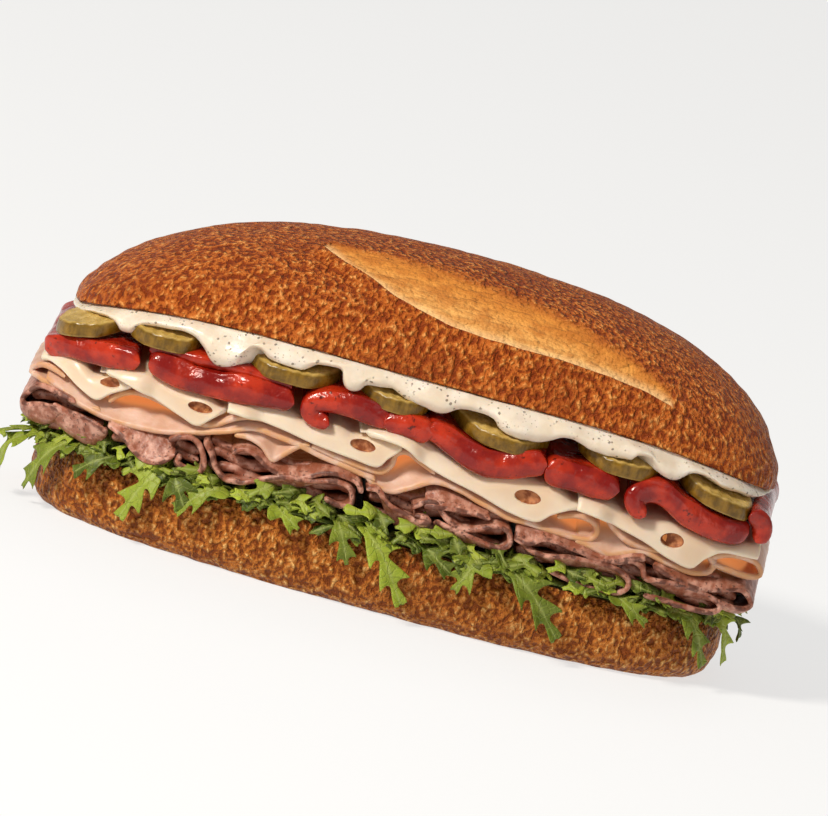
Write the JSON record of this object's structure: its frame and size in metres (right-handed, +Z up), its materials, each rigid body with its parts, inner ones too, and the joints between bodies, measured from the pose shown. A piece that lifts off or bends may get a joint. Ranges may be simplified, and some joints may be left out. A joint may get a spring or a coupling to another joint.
{
  "type": "turkey sandwich",
  "caption": "Long crusty roll filled with sliced turkey and beef, holed cheese, roasted red pepper, pickle chips, salad leaves and a creamy dressing.",
  "frame": {"origin": "middle of the flat underside of the lower half of the roll, at the middle of the roll's length", "axes": "+X along the roll, +Y away from the side with the hanging cheese corners, +Z up"},
  "size_m": [0.2125, 0.0954, 0.0949],
  "materials": {
    "crust": "satin",
    "salad leaf": "satin",
    "sliced beef": "satin",
    "sliced turkey": "satin",
    "cheese": "satin",
    "roasted pepper": "gloss",
    "pickle": "gloss",
    "dressing": "gloss"
  },
  "bodies": {
    "root": {"bun_bottom": "crust", "salad": "salad leaf", "beef_1": "sliced beef", "beef_2": "sliced beef", "beef_3": "sliced beef", "beef_4": "sliced beef", "beef_5": "sliced beef", "beef_6": "sliced beef", "beef_7": "sliced beef", "beef_8": "sliced beef", "beef_9": "sliced beef", "beef_10": "sliced beef", "beef_11": "sliced beef", "beef_12": "sliced beef", "beef_13": "sliced beef", "turkey_1": "sliced turkey", "turkey_2": "sliced turkey", "turkey_3": "sliced turkey", "turkey_4": "sliced turkey", "turkey_5": "sliced turkey", "turkey_6": "sliced turkey", "turkey_7": "sliced turkey", "turkey_8": "sliced turkey", "turkey_9": "sliced turkey", "cheese_1": "cheese", "cheese_2": "cheese", "cheese_3": "cheese", "cheese_4": "cheese", "cheese_5": "cheese", "pepper_1": "roasted pepper", "pepper_2": "roasted pepper", "pepper_3": "roasted pepper", "pepper_4": "roasted pepper", "pepper_5": "roasted pepper", "pepper_6": "roasted pepper", "pepper_7": "roasted pepper", "pepper_8": "roasted pepper", "pickle_front_1": "pickle", "pickle_front_2": "pickle", "pickle_front_3": "pickle", "pickle_front_4": "pickle", "pickle_front_5": "pickle", "pickle_front_6": "pickle", "pickle_front_7": "pickle", "pickle_back_1": "pickle", "pickle_back_2": "pickle", "pickle_back_3": "pickle", "pickle_back_4": "pickle", "pickle_back_5": "pickle", "pickle_back_6": "pickle", "pickle_back_7": "pickle", "dressing": "dressing", "bun_top": "crust"}
  },
  "joints": []
}
